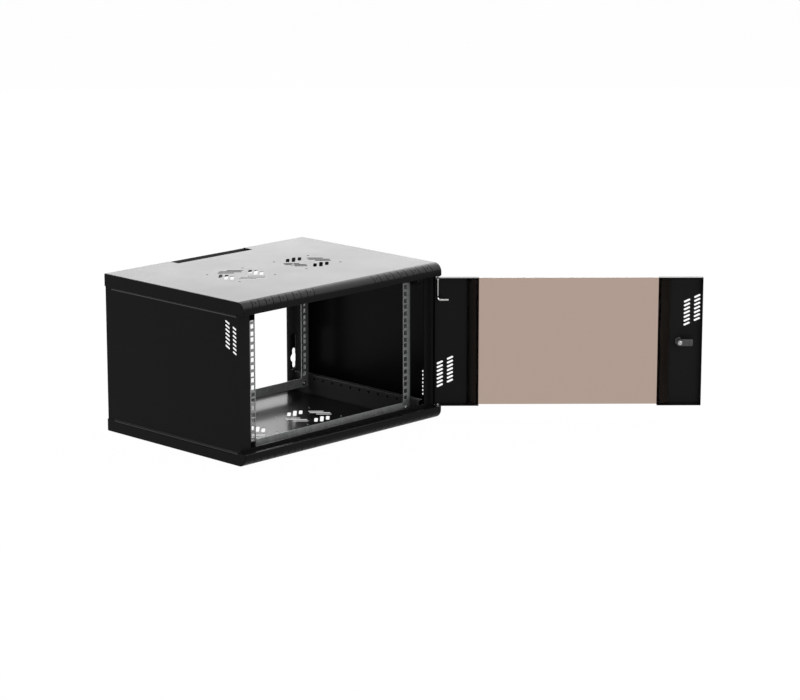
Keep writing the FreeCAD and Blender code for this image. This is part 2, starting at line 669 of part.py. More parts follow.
# Door stiles: skin with a flange round three sides, and vent slots near one end.
def stile(label, sign, tools):
    edge = f"{sign}(width/2 - door_side_gap)"
    edge_in = f"{sign}(width/2 - door_side_gap - sheet)"
    glass_side = f"{sign}(width/2 - door_side_gap - stile_width)"

    def span(a, b):
        return (a, b) if sign == "-" else (b, a)

    deep = (FRONT, "stile_flange - depth/2")
    pieces = [
        plate(label + "_skin", span(edge, glass_side), SKIN, (DOOR_LOW, DOOR_HIGH)),
        plate(label + "_edge", span(edge, edge_in), deep, (DOOR_LOW, DOOR_HIGH)),
        plate(label + "_foot", span(edge, glass_side), deep, (DOOR_LOW, f"{DOOR_LOW} + sheet")),
        plate(label + "_head", span(edge, glass_side), deep, (f"{DOOR_HIGH} - sheet", DOOR_HIGH)),
    ]
    rise, along, up = ("+", -X, Z) if sign == "-" else ("-", X, -Z)
    tools.append(vents_at(label + "_vents", (f"{sign}(width/2 - door_side_gap - door_vent_edge)", FRONT,
                                             f"{DOOR_MID} {rise} door_vent_rise"), along, up))
    return door_node(label, cut(label + "_cut", union(label + "_blank", pieces), tools))


stile("door_hinge_stile", "", [
    rod("pin_hole_low", "pin_diameter", "4*sheet", (HINGE_X, HINGE_Y, f"{DOOR_LOW} - sheet")),
    rod("pin_hole_high", "pin_diameter + 2*pin_slot_clearance", "4*sheet",
        (HINGE_X, HINGE_Y, f"{DOOR_HIGH} - 2*sheet"))])
stile("door_lock_stile", "-", [
    rod("lock_hole", "lock_body + 2*turning_clearance", "8*sheet", (LOCK_X, f"{FRONT} - 4*sheet", DOOR_MID),
        ALONG_Y)])

TAPE_Y = ("sheet - depth/2", "sheet + tape_thickness - depth/2")
GLASS_Z = (f"{DOOR_LOW} + glass_bottom_gap", f"{DOOR_HIGH} - glass_top_gap")
door_node("door_glass", plate("glass", (f"-{GLASS_END}", GLASS_END),
                              (TAPE_Y[1], f"{TAPE_Y[1]} + glass_thickness"), GLASS_Z))
for side, low, high in (("lock", f"-{GLASS_END}", f"tape_width - {GLASS_END}"),
                        ("hinge", f"{GLASS_END} - tape_width", GLASS_END)):
    door_node(f"glass_tape_{side}", plate(f"tape_{side}", (low, high), TAPE_Y, GLASS_Z))

# Lower hinge pin: fixed to the door's foot, with a collar that runs on the lower bush.
COLLAR_LOW = "lip_height + bush_flange_height"
door_node("lower_hinge_pin", union("lower_pin", [
    rod("lower_pin_rod", "pin_diameter", "lower_pin_reach + door_bottom_gap + sheet",
        (HINGE_X, HINGE_Y, "lip_height - lower_pin_reach")),
    rod("lower_pin_collar", "bush_flange", f"{DOOR_LOW} - ({COLLAR_LOW})", (HINGE_X, HINGE_Y, COLLAR_LOW)),
    rod("lower_pin_button", "lower_pin_head", "lower_pin_head_height",
        (HINGE_X, HINGE_Y, f"{DOOR_LOW} + sheet")),
]))

# Upper hinge pin: a sprung rod with a bent handle, guided by a tab on the door.
HANDLE_Z = f"({DOOR_HIGH} - handle_drop)"
BEND_Z = f"({HANDLE_Z} + pin_bend)"
GUIDE_LOW = f"({BEND_Z} + guide_gap)"
GUIDE_TOP = f"({GUIDE_LOW} + guide_height)"
CLIP_LOW = f"({DOOR_HIGH} - sheet - clip_drop - clip_height)"
guide = plate("guide", (f"{DOOR_RIGHT} - sheet - guide_width", f"{DOOR_RIGHT} - sheet"),
              ("sheet - depth/2", "sheet + guide_depth - depth/2"), (GUIDE_LOW, GUIDE_TOP))
door_node("pin_guide", cut("guide_bored", guide, [
    rod("guide_bore", "pin_diameter + 2*pin_slot_clearance", "guide_height", (HINGE_X, HINGE_Y, GUIDE_LOW))]))

bend = doc.addObject("Part::Torus", "pin_elbow")
bend.Angle3 = 90
bind(bend, "Radius1", "pin_bend")
bind(bend, "Radius2", "pin_diameter/2")
place(bend, (f"{HINGE_X} - pin_bend", HINGE_Y, BEND_Z), FreeCAD.Rotation(X, -Z, Y, "ZXY"))
door_node("hinge_pin", union("hinge_pin_rod", [
    rod("pin_upright", "pin_diameter", f"{LIP_Z} + pin_reach - {BEND_Z}", (HINGE_X, HINGE_Y, BEND_Z)),
    bend,
    rod("pin_handle", "pin_diameter", "handle_length",
        (f"{HINGE_X} - pin_bend - handle_length", HINGE_Y, HANDLE_Z), ALONG_X),
]))
CLIP_AT = (HINGE_X, HINGE_Y, CLIP_LOW)
door_node("pin_clip", cut("clip", rod("clip_disc", "clip_diameter", "clip_height", CLIP_AT),
                          [rod("clip_bore", "pin_diameter", "clip_height", CLIP_AT)]))

spring = doc.addObject("Part::Sweep", "spring")
coil = doc.addObject("Part::Helix", "spring_coil")
bind(coil, "Radius", "(spring_diameter - spring_wire)/2")
bind(coil, "Height", f"{CLIP_LOW} - {GUIDE_TOP} - 1.1*spring_wire")
bind(coil, "Pitch", f"({CLIP_LOW} - {GUIDE_TOP} - 1.1*spring_wire)/spring_turns")
place(coil, (HINGE_X, HINGE_Y, f"{GUIDE_TOP} + 0.55*spring_wire"))
section = doc.addObject("Part::Circle", "spring_section")
bind(section, "Radius", "spring_wire/2")
place(section, (f"{HINGE_X} + (spring_diameter - spring_wire)/2", HINGE_Y, f"{GUIDE_TOP} + 0.55*spring_wire"),
      FreeCAD.Rotation(X, Z, -Y, "ZXY"))
spring.Sections = [section]
spring.Spine = (coil, [])
spring.Solid = True
spring.Frenet = True
door_node("pin_spring", spring)

# Cam lock in the lock stile.
BODY_BACK = "(sheet + lock_length - depth/2)"
CAM_FRONT = f"({BODY_BACK} + cam_gap)"
CAM_BACK = f"({CAM_FRONT} + cam_thickness)"


def lock_rod(name, diameter, front, back):
    return rod(name, diameter, f"{back} - ({front})", (LOCK_X, front, DOOR_MID), ALONG_Y)


BODY_FRONT = f"({FRONT} - lock_flange_height)"
PLUG_FRONT = f"({BODY_FRONT} - plug_proud)"
housing = union("lock_body_outer", [lock_rod("lock_barrel", "lock_body", BODY_FRONT, BODY_BACK),
                                    lock_rod("lock_rosette", "lock_flange", BODY_FRONT, FRONT)])
lock_bore = lock_rod("lock_bore", "plug_diameter + 2*turning_clearance", BODY_FRONT, BODY_BACK)
door_node("lock_housing", cut("lock_body_bored", housing, [lock_bore]))

hexagon = doc.addObject("Part::Prism", "lock_nut_hex")
hexagon.Polygon = 6
bind(hexagon, "Circumradius", "lock_nut/2")
bind(hexagon, "Height", "lock_nut_height")
place(hexagon, (LOCK_X, "sheet - depth/2", DOOR_MID), ALONG_Y)
door_node("lock_nut", cut("lock_nut_bored", hexagon,
                          [lock_rod("lock_nut_bore", "lock_body", "sheet - depth/2",
                                    "sheet + lock_nut_height - depth/2")]))


def around_lock(name, wide, tall, front, back):
    return plate(name, (f"{LOCK_X} - ({wide})/2", f"{LOCK_X} + ({wide})/2"), (front, back),
                 (f"{DOOR_MID} - ({tall})/2", f"{DOOR_MID} + ({tall})/2"))


plug = union("plug_body", [lock_rod("plug_barrel", "plug_diameter", PLUG_FRONT, CAM_FRONT),
                           around_lock("plug_drive", "plug_square", "plug_square", CAM_FRONT, CAM_BACK)])
door_node("lock_plug", cut("plug_slotted", plug, [
    around_lock("key_slot", "key_slot_width", "key_slot_height", PLUG_FRONT,
                f"{PLUG_FRONT} + key_slot_depth")]))
cam = union("cam_blank", [
    lock_rod("cam_boss", "cam_width", CAM_FRONT, CAM_BACK),
    plate("cam_bar", (f"{LOCK_X} - cam_reach + cam_width/4", LOCK_X), (CAM_FRONT, CAM_BACK),
          (f"{DOOR_MID} - cam_width/2", f"{DOOR_MID} + cam_width/2")),
    plate("cam_tip", (f"{LOCK_X} - cam_reach", LOCK_X), (CAM_FRONT, CAM_BACK),
          (f"{DOOR_MID} - cam_width/4", f"{DOOR_MID} + cam_width/4")),
    rod("cam_corner_low", "cam_width/2", "cam_thickness",
        (f"{LOCK_X} - cam_reach + cam_width/4", CAM_FRONT, f"{DOOR_MID} - cam_width/4"), ALONG_Y),
    rod("cam_corner_high", "cam_width/2", "cam_thickness",
        (f"{LOCK_X} - cam_reach + cam_width/4", CAM_FRONT, f"{DOOR_MID} + cam_width/4"), ALONG_Y),
])
door_node("lock_cam", cut("cam_pierced", cam,
                          [around_lock("cam_square", "plug_square", "plug_square", CAM_FRONT, CAM_BACK)]))
door_node("cam_screw", lock_rod("cam_screw_head", "cam_screw", CAM_BACK, f"{CAM_BACK} + cam_screw_height"))

doc.recompute()

# Nothing is written unless every object and every shape is sound.
for obj in doc.Objects:
    if {"Invalid", "Error"} & set(obj.State):
        raise RuntimeError(f"{obj.Name} failed: {obj.State}")
for obj in nodes:
    if obj.Shape.isNull() or not obj.Shape.isValid() or not obj.Shape.Solids:
        raise RuntimeError(f"{obj.Label} has no sound shape")

os.makedirs("parts", exist_ok=True)
for obj in nodes:
    obj.Shape.exportStep(os.path.join("parts", obj.Label + ".step"))
    print(f"{obj.Label:28s} solids {len(obj.Shape.Solids):2d}  volume {obj.Shape.Volume / 1000:9.2f} cm3")
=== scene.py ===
import json
import math
import bpy
from mathutils import Matrix, Vector


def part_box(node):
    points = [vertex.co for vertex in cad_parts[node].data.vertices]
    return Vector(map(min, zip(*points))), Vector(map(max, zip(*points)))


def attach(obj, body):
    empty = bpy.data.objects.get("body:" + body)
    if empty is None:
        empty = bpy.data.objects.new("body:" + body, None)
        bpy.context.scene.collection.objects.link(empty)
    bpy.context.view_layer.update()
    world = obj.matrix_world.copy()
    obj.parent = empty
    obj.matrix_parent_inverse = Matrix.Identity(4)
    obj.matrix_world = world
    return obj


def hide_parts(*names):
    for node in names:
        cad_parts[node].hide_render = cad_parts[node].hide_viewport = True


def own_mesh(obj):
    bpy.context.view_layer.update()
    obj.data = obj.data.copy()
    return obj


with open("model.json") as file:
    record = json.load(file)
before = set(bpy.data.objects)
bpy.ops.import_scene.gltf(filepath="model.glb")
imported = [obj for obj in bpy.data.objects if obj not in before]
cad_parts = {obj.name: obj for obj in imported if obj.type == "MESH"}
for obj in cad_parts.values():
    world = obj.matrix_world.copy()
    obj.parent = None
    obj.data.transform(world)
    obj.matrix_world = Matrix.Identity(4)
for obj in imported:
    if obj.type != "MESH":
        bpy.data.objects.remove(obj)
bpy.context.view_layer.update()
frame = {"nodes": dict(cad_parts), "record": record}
nodes = frame["nodes"]
scene = bpy.context.scene
scene.view_settings.view_transform = "Standard"
print("loaded", len(nodes), "nodes")


# node helpers

def newMaterial(name):
    mat = bpy.data.materials.new(name)
    mat.use_nodes = True
    tree = mat.node_tree
    return mat, tree, tree.nodes["Principled BSDF"]


def addNode(tree, kind, **settings):
    made = tree.nodes.new(kind)
    for key, value in settings.items():
        setattr(made, key, value)
    return made


def setInputs(made, **values):
    for key, value in values.items():
        made.inputs[key.replace("_", " ")].default_value = value
    return made


def mathNode(tree, operation, first, second=None):
    made = addNode(tree, "ShaderNodeMath", operation=operation)
    for i, value in enumerate((first, second)):
        if value is None:
            continue
        if isinstance(value, (int, float)):
            made.inputs[i].default_value = value
        else:
            tree.links.new(value, made.inputs[i])
    return made.outputs[0]


def remap(tree, value, fromRange, toRange):
    made = addNode(tree, "ShaderNodeMapRange")
    tree.links.new(value, made.inputs["Value"])
    setInputs(made, From_Min=fromRange[0], From_Max=fromRange[1], To_Min=toRange[0], To_Max=toRange[1])
    return made.outputs["Result"]


def newGroup(name, inputs, outputs):
    group = bpy.data.node_groups.new(name, "ShaderNodeTree")
    for label, default in inputs.items():
        socket = group.interface.new_socket(label, in_out="INPUT", socket_type="NodeSocketFloat")
        socket.default_value = default
    for label in outputs:
        group.interface.new_socket(label, in_out="OUTPUT", socket_type="NodeSocketFloat")
    return group, addNode(group, "NodeGroupInput"), addNode(group, "NodeGroupOutput")


def useGroup(tree, group, **values):
    made = addNode(tree, "ShaderNodeGroup", node_tree=group)
    for key, value in values.items():
        made.inputs[key].default_value = value
    return made


# shared surface effects: the grain of a sprayed coat, and the streaks and patches on plated metal

peelPlan = {"inputs": {"size": 0.0011}, "grainDetail": 2.0, "grainRough": 0.45, "cloudScale": 7.0,
            "cloudDetail": 3.0}
rubbingPlan = {"inputs": {"along": 6.0, "across": 700.0, "patch": 160.0}, "streakDetail": 3.0}
noiseRange = (0.3, 0.7)  # where nearly all of a noise's values lie
wornRange = (0.05, 0.4)  # the same for streak times mottle


def buildOrangePeel(plan):
    group, given, result = newGroup("orangePeel", plan["inputs"], ["height", "tone"])
    place = addNode(group, "ShaderNodeTexCoord").outputs["Object"]
    scale = mathNode(group, "DIVIDE", 1.0, given.outputs["size"])
    grain = setInputs(addNode(group, "ShaderNodeTexNoise"), Detail=plan["grainDetail"],
                      Roughness=plan["grainRough"])
    group.links.new(place, grain.inputs["Vector"])
    group.links.new(scale, grain.inputs["Scale"])
    cloud = setInputs(addNode(group, "ShaderNodeTexNoise"), Scale=plan["cloudScale"], Detail=plan["cloudDetail"])
    group.links.new(place, cloud.inputs["Vector"])
    group.links.new(grain.outputs["Fac"], result.inputs["height"])
    group.links.new(cloud.outputs["Fac"], result.inputs["tone"])
    return group


def buildRubbing(plan):
    group, given, result = newGroup("rubbing", plan["inputs"], ["streak", "mottle"])
    place = addNode(group, "ShaderNodeTexCoord").outputs["Object"]
    stretch = addNode(group, "ShaderNodeCombineXYZ")
    for axis, label in (("X", "across"), ("Y", "across"), ("Z", "along")):
        group.links.new(given.outputs[label], stretch.inputs[axis])
    drawn = addNode(group, "ShaderNodeVectorMath", operation="MULTIPLY")
    group.links.new(place, drawn.inputs[0])
    group.links.new(stretch.outputs[0], drawn.inputs[1])
    streak = setInputs(addNode(group, "ShaderNodeTexNoise"), Scale=1.0, Detail=plan["streakDetail"])
    group.links.new(drawn.outputs[0], streak.inputs["Vector"])
    patch = addNode(group, "ShaderNodeTexVoronoi", feature="SMOOTH_F1")
    group.links.new(place, patch.inputs["Vector"])
    group.links.new(given.outputs["patch"], patch.inputs["Scale"])
    group.links.new(streak.outputs["Fac"], result.inputs["streak"])
    group.links.new(patch.outputs["Distance"], result.inputs["mottle"])
    return group


orangePeel = buildOrangePeel(peelPlan)
rubbing = buildRubbing(rubbingPlan)


def blendColours(tree, factor, dark, light):
    ramp = addNode(tree, "ShaderNodeValToRGB")
    ramp.color_ramp.elements[0].color = (*dark, 1)
    ramp.color_ramp.elements[1].color = (*light, 1)
    tree.links.new(factor, ramp.inputs["Fac"])
    return ramp.outputs["Color"]


def addBump(tree, shader, height, look):
    bump = setInputs(addNode(tree, "ShaderNodeBump"), Strength=look["bump"], Distance=look["bumpDepth"])
    tree.links.new(height, bump.inputs["Height"])
    tree.links.new(bump.outputs["Normal"], shader.inputs["Normal"])


def placeAxis(tree, axis):
    split = addNode(tree, "ShaderNodeSeparateXYZ")
    tree.links.new(addNode(tree, "ShaderNodeTexCoord").outputs["Object"], split.inputs[0])
    return split.outputs[axis]


# black powder coat on the casing, the frame and the door: the lids have a thin glossy layer over it

lidCoatLook = {"dark": (0.0028, 0.0028, 0.0029), "light": (0.0034, 0.0034, 0.0035), "rough": (0.40, 0.46),
               "specular": 0.030, "gloss": 0.55, "glossRough": 0.14, "glossIndex": 1.13,
               "peel": 0.0011, "bump": 0.015, "bumpDepth": 0.0002}
panelCoatLook = {"dark": (0.0044, 0.0044, 0.0045), "light": (0.0056, 0.0056, 0.0057), "rough": (0.27, 0.33),
                 "specular": 0.046, "gloss": 0.0, "glossRough": 0.2, "glossIndex": 1.13,
                 "peel": 0.0011, "bump": 0.03, "bumpDepth": 0.0002}
# painted light: the door's stiles take a lighter copy of the panel coat, making up for the light the open
# cabinet keeps from them
doorCoatPaintedLightLook = dict(panelCoatLook, dark=(0.0064, 0.0064, 0.0065), light=(0.0080, 0.0080, 0.0081))
# painted light: the inner frame takes a much lighter copy of the coat, making up for the shade inside the
# cabinet
frameCoatPaintedLightLook = dict(panelCoatLook, dark=(0.032, 0.032, 0.0325), light=(0.038, 0.038, 0.0385),
                     rough=(0.32, 0.42), specular=0.12, peel=0.0013, bump=0.05)


def makeBlackCoat(name, look):
    mat, tree, shader = newMaterial(name)
    peel = useGroup(tree, orangePeel, size=look["peel"])
    colour = blendColours(tree, peel.outputs["tone"], look["dark"], look["light"])
    tree.links.new(colour, shader.inputs["Base Color"])
    tree.links.new(remap(tree, peel.outputs["tone"], noiseRange, look["rough"]), shader.inputs["Roughness"])
    setInputs(shader, Specular_IOR_Level=look["specular"], Coat_Weight=look["gloss"],
              Coat_Roughness=look["glossRough"], Coat_IOR=look["glossIndex"])
    addBump(tree, shader, peel.outputs["height"], look)
    return mat


# painted sheen on the side panels' ribs: a glossy coat laid only on the rib bands stands in for the ribs'
# highlight lines; bands are the heights of the lower and the upper rib

ribPaintedSheenLook = {"bands": ((0.0241, 0.0270), (0.3220, 0.3249)), "halfLength": 0.2025, "sheen": 0.6, "index": 1.5}


def addPaintedRibSheen(mat, look):
    tree = mat.node_tree
    shader = tree.nodes["Principled BSDF"]
    height = placeAxis(tree, "Z")
    onRib = 0.0
    for low, high in look["bands"]:
        inside = mathNode(tree, "MULTIPLY", mathNode(tree, "GREATER_THAN", height, low),
                          mathNode(tree, "LESS_THAN", height, high))
        onRib = mathNode(tree, "ADD", inside, onRib)
    along = mathNode(tree, "ABSOLUTE", placeAxis(tree, "Y"))
    onRib = mathNode(tree, "MULTIPLY", onRib, mathNode(tree, "LESS_THAN", along, look["halfLength"]))
    # painted highlight: coat weight on the rib bands only
    tree.links.new(mathNode(tree, "MULTIPLY", onRib, look["sheen"]), shader.inputs["Coat Weight"])
    setInputs(shader, Coat_IOR=look["index"])
    return mat


# zinc on the rails and bars, brighter plate on the fasteners
# the rails' flanges get painted shade, a darker base colour: flange is how far it reaches in from the rail's
# outer face, and the shade factor is what they keep of the colour

zincLook = {"dark": (0.175, 0.183, 0.181), "light": (0.225, 0.235, 0.232), "rough": (0.38, 0.5),
            "patch": 120.0, "bump": 0.04, "bumpDepth": 0.0002, "flange": 0.0016, "flangePaintedShade": 0.4}
# painted light: a lighter copy of the zinc for the cross bars and rear rails, making up for the shade inside the
# cabinet
barZincPaintedLightLook = dict(zincLook, dark=(0.29, 0.303, 0.298), light=(0.37, 0.386, 0.38), rough=(0.4, 0.52),
                   flangePaintedShade=0.45)
brightLook = {"dark": (0.34, 0.34, 0.33), "light": (0.50, 0.50, 0.49), "rough": (0.2, 0.34),
              "patch": 420.0, "bump": 0.03, "bumpDepth": 0.0002}
darkPlateLook = {"dark": (0.05, 0.05, 0.05), "light": (0.085, 0.085, 0.083), "rough": (0.16, 0.24),
                 "patch": 420.0, "bump": 0.02, "bumpDepth": 0.0002}
chromeLook = {"dark": (0.48, 0.48, 0.48), "light": (0.62, 0.62, 0.62), "rough": (0.07, 0.14),
              "patch": 300.0, "bump": 0.01, "bumpDepth": 0.0002}


# painted shade: the base colour is darkened on the rails' flanges
def paintShadeOnFlanges(tree, colour, look):
    across = mathNode(tree, "ABSOLUTE", placeAxis(tree, "X"))
    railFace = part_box("rail_front_right")[1][0]
    onFlange = mathNode(tree, "GREATER_THAN", across, railFace - look["flange"])
    shaded = addNode(tree, "ShaderNodeVectorMath", operation="SCALE")
    tree.links.new(colour, shaded.inputs[0])
    tree.links.new(remap(tree, onFlange, (0, 1), (1, look["flangePaintedShade"])), shaded.inputs["Scale"])
    return shaded.outputs[0]


def makePlatedMetal(name, look):
    mat, tree, shader = newMaterial(name)
    worn = useGroup(tree, rubbing, patch=look["patch"])
    mixed = mathNode(tree, "MULTIPLY", worn.outputs["streak"], worn.outputs["mottle"])
    colour = blendColours(tree, remap(tree, mixed, wornRange, (0, 1)), look["dark"], look["light"])
    if "flangePaintedShade" in look:
        colour = paintShadeOnFlanges(tree, colour, look)
    tree.links.new(colour, shader.inputs["Base Color"])
    tree.links.new(remap(tree, worn.outputs["streak"], noiseRange, look["rough"]), shader.inputs["Roughness"])
    setInputs(shader, Metallic=1.0)
    addBump(tree, shader, worn.outputs["streak"], look)
    return mat


# bronze glass, bonding tape and the hinge bushes

glassLook = {"tint": (0.428, 0.33, 0.28), "rough": (0.0, 0.015), "hazeRange": (0.45, 0.75), "index": 1.45,
             "reflection": (0.07, 0.07, 0.07)}
tapeLook = {"dark": (0.012, 0.012, 0.012), "light": (0.022, 0.022, 0.022), "rough": (0.6, 0.8),
            "peel": 0.0006, "bump": 0.4, "bumpDepth": 0.0003}
bushLook = {"dark": (0.014, 0.014, 0.015), "light": (0.024, 0.024, 0.025), "rough": (0.42, 0.55),
            "peel": 0.0004, "bump": 0.15, "bumpDepth": 0.0003}


def makeGlass(name, look):
    mat, tree, shader = newMaterial(name)
    haze = useGroup(tree, orangePeel).outputs["tone"]
    tree.links.new(remap(tree, haze, look["hazeRange"], look["rough"]), shader.inputs["Roughness"])
    setInputs(shader, Base_Color=(*look["tint"], 1), Transmission_Weight=1.0, IOR=look["index"],
              Specular_Tint=(*look["reflection"], 1))
    return mat


def makeSoft(name, look):
    mat, tree, shader = newMaterial(name)
    peel = useGroup(tree, orangePeel, size=look["peel"])
    colour = blendColours(tree, peel.outputs["height"], look["dark"], look["light"])
    tree.links.new(colour, shader.inputs["Base Color"])
    tree.links.new(remap(tree, peel.outputs["tone"], noiseRange, look["rough"]), shader.inputs["Roughness"])
    addBump(tree, shader, peel.outputs["height"], look)
    return mat


# a node takes the finish of its material slot, unless a variant names it

finishes = {
    "black_coat": makeBlackCoat("panelCoat", panelCoatLook),
    "lid_coat": makeBlackCoat("lidCoat", lidCoatLook),
    "side_coat": addPaintedRibSheen(makeBlackCoat("sideCoatPaintedSheen", panelCoatLook), ribPaintedSheenLook),
    "door_coat": makeBlackCoat("doorCoatPaintedLight", doorCoatPaintedLightLook),
    "zinc_plate": makePlatedMetal("zincPlate", zincLook),
    "bar_zinc": makePlatedMetal("barZincPaintedLight", barZincPaintedLightLook),
    "bright_steel": makePlatedMetal("brightPlate", brightLook),
    "dark_steel": makePlatedMetal("darkPlate", darkPlateLook),
    "frame_coat": makeBlackCoat("frameCoatPaintedLight", frameCoatPaintedLightLook),
    "chrome_plate": makePlatedMetal("polishedPlate", chromeLook),
    "smoked_glass": makeGlass("bronzeGlass", glassLook),
    "tape": makeSoft("bondingTape", tapeLook),
    "bush_plastic": makeSoft("bushNylon", bushLook),
}
variants = {
    "lid_coat": ("top_lid", "bottom_lid"),
    "side_coat": ("left_side_panel", "right_side_panel"),
    "door_coat": ("door_hinge_stile", "door_lock_stile"),
    "frame_coat": ("rear_post_", "rear_top_", "side_channel_bottom"),
    "bar_zinc": ("cross_bar_front", "cross_bar_rear", "rail_rear_"),
    "dark_steel": ("pin_spring", "lock_nut"),
}


def finishOf(entry):
    for name, starts in variants.items():
        if entry["node"].startswith(starts):
            return finishes[name]
    return finishes[entry["material_slot"]]


for entry in frame["record"]["subparts"]:
    piece = nodes[entry["node"]]
    piece.data.materials.clear()
    piece.data.materials.append(finishOf(entry))


# modelling helpers, with all sizes in metres

sameSpot = 1e-6  # places nearer than this count as one


def findJoint(name):
    return next(joint for joint in frame["record"]["behaviour"]["joints"] if joint["name"] == name)


def selectOnly(*pieces):
    bpy.ops.object.select_all(action="DESELECT")
    for piece in pieces:
        piece.select_set(True)
    bpy.context.view_layer.objects.active = pieces[0]


def near(a, b):
    return abs(a - b) < sameSpot


def rimAt(z):
    return lambda a, b: near(a.z, z) and near(b.z, z)


def uprightAt(x):
    return lambda a, b: near(a.x, b.x) and near(a.y, b.y) and near(a.x, x)


def bevelEdges(piece, wanted, width, steps):
    selectOnly(piece)
    bpy.ops.object.mode_set(mode="EDIT")
    bpy.ops.mesh.select_mode(type="EDGE")
    bpy.ops.mesh.select_all(action="DESELECT")
    bpy.ops.object.mode_set(mode="OBJECT")
    points = piece.data.vertices
    for edge in piece.data.edges:
        edge.select = wanted(points[edge.vertices[0]].co, points[edge.vertices[1]].co)
    bpy.ops.object.mode_set(mode="EDIT")
    bpy.ops.mesh.bevel(offset=width, segments=steps, affect="EDGES")
    bpy.ops.object.mode_set(mode="OBJECT")


def addCylinder(radius, low, high, sides):
    bpy.ops.object.select_all(action="DESELECT")
    bpy.ops.mesh.primitive_cylinder_add(vertices=sides, radius=radius, depth=high - low,
                                        location=(0, 0, (low + high) / 2))
    bpy.ops.object.transform_apply(location=True)
    return bpy.context.object


def addBlock(x, y, z):
    bpy.ops.object.select_all(action="DESELECT")
    bpy.ops.mesh.primitive_cube_add(size=1.0)
    bpy.ops.object.mode_set(mode="EDIT")
    bpy.ops.mesh.select_all(action="SELECT")
    bpy.ops.transform.resize(value=(x[1] - x[0], y[1] - y[0], z[1] - z[0]))
    bpy.ops.transform.translate(value=((x[0] + x[1]) / 2, (y[0] + y[1]) / 2, (z[0] + z[1]) / 2))
    bpy.ops.object.mode_set(mode="OBJECT")
    return bpy.context.object


def cutAway(piece, cutter):
    selectOnly(piece)
    hole = piece.modifiers.new("hole", "BOOLEAN")
    hole.operation = "DIFFERENCE"
    hole.solver = "EXACT"
    hole.object = cutter
    bpy.ops.object.modifier_apply(modifier=hole.name)
    bpy.data.objects.remove(cutter)


def joinPieces(first, second):
    selectOnly(first, second)
    bpy.ops.object.join()
    return first


def smoothPiece(piece, angle):
    selectOnly(piece)
    bpy.ops.object.shade_smooth_by_angle(angle=math.radians(angle))


def putPiece(model, name, matrix, node, body, finish):
    piece = model.copy()
    piece.data = model.data.copy()
    piece.name = name
    scene.collection.objects.link(piece)
    piece.matrix_world = matrix
    selectOnly(piece)
    bpy.ops.object.transform_apply(location=True, rotation=True, scale=True)
    piece.data.materials.clear()
    piece.data.materials.append(finishes[finish])
    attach(piece, body)
    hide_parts(node)


# screws: a domed head with a cross recess, or a hexagon head with a washer face, on a chamfered shank

screwLook = {"head": 0.005, "sides": 40, "height": 0.004, "dome": 0.0022, "domeSteps": 5,
             "armLength": 0.0054, "armWidth": 0.0011, "armDepth": 0.0017,
             "shank": 0.003, "shankSides": 28, "length": 0.010, "chamfer": 0.0006, "smoothAngle": 35}
boltLook = {"head": 0.005, "sides": 40, "height": 0.004, "hexagon": 0.0046, "corners": 6,
            "crown": 0.0005, "crownSteps": 3, "washer": 0.0009, "washerSteps": 2,
            "shank": 0.003, "shankSides": 28, "length": 0.010, "chamfer": 0.0006, "smoothAngle": 35}
camScrewLook = {"head": 0.005, "sides": 40, "height": 0.003, "dome": 0.0012, "domeSteps": 5,
                "armLength": 0.0054, "armWidth": 0.0012, "armDepth": 0.0014, "smoothAngle": 35}


def makeDomedHead(look):
    head = addCylinder(look["head"], 0.0, look["height"], look["sides"])
    bevelEdges(head, rimAt(look["height"]), look["dome"], look["domeSteps"])
    half, wide, low = look["armLength"] / 2, look["armWidth"] / 2, look["height"] - look["armDepth"]
    for x, y in ((half, wide), (wide, half)):
        cutAway(head, addBlock((-x, x), (-y, y), (low, look["height"] + look["armDepth"])))
    return head


def makeHexagonHead(look):
    head = addCylinder(look["hexagon"], 0.0, look["height"], look["corners"])
    bevelEdges(head, rimAt(look["height"]), look["crown"], look["crownSteps"])
    washer = addCylinder(look["head"], 0.0, look["washer"], look["sides"])
    bevelEdges(washer, rimAt(look["washer"]), look["crown"], look["washerSteps"])
    return joinPieces(head, washer)


def addShank(head, look):
    top = look.get("washer", 0.0) / 2  # a washer face hides the shank's end
    shank = addCylinder(look["shank"], -look["length"], top, look["shankSides"])
    bevelEdges(shank, rimAt(-look["length"]), look["chamfer"], steps=1)
    return joinPieces(head, shank)


def makeScrews(look):
    model = addShank(makeDomedHead(look), look)
    smoothPiece(model, look["smoothAngle"])
    low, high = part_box("cross_bar_screws")
    turn = Matrix.Rotation(math.radians(90), 4, "X")
    seats = {"front": low[1] + look["height"], "rear": high[1] - look["length"]}
    for row, y in seats.items():
        for side, x in (("left", low[0] + look["head"]), ("right", high[0] - look["head"])):
            for end, z in (("low", low[2] + look["head"]), ("high", high[2] - look["head"])):
                putPiece(model, f"barScrew_{row}_{side}_{end}", Matrix.Translation((x, y, z)) @ turn,
                         "cross_bar_screws", "cabinet", "zinc_plate")
    bpy.data.objects.remove(model)


def makeBolts(look):
    model = addShank(makeHexagonHead(look), look)
    smoothPiece(model, look["smoothAngle"])
    low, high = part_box("rail_bolts")
    seats = {"left": (low[0] + look["length"], 90), "right": (high[0] - look["length"], -90)}
    for side, (x, angle) in seats.items():
        turn = Matrix.Rotation(math.radians(angle), 4, "Y")
        for row, y in (("front", low[1] + look["head"]), ("rear", high[1] - look["head"])):
            for end, z in (("low", low[2] + look["head"]), ("high", high[2] - look["head"])):
                putPiece(model, f"railBolt_{row}_{side}_{end}", Matrix.Translation((x, y, z)) @ turn,
                         "rail_bolts", "cabinet", "bright_steel")
    bpy.data.objects.remove(model)


makeScrews(screwLook)
makeBolts(boltLook)
print("screws and bolts in place")


# lock cam with rounded rims and its screw, on the inside of the open door

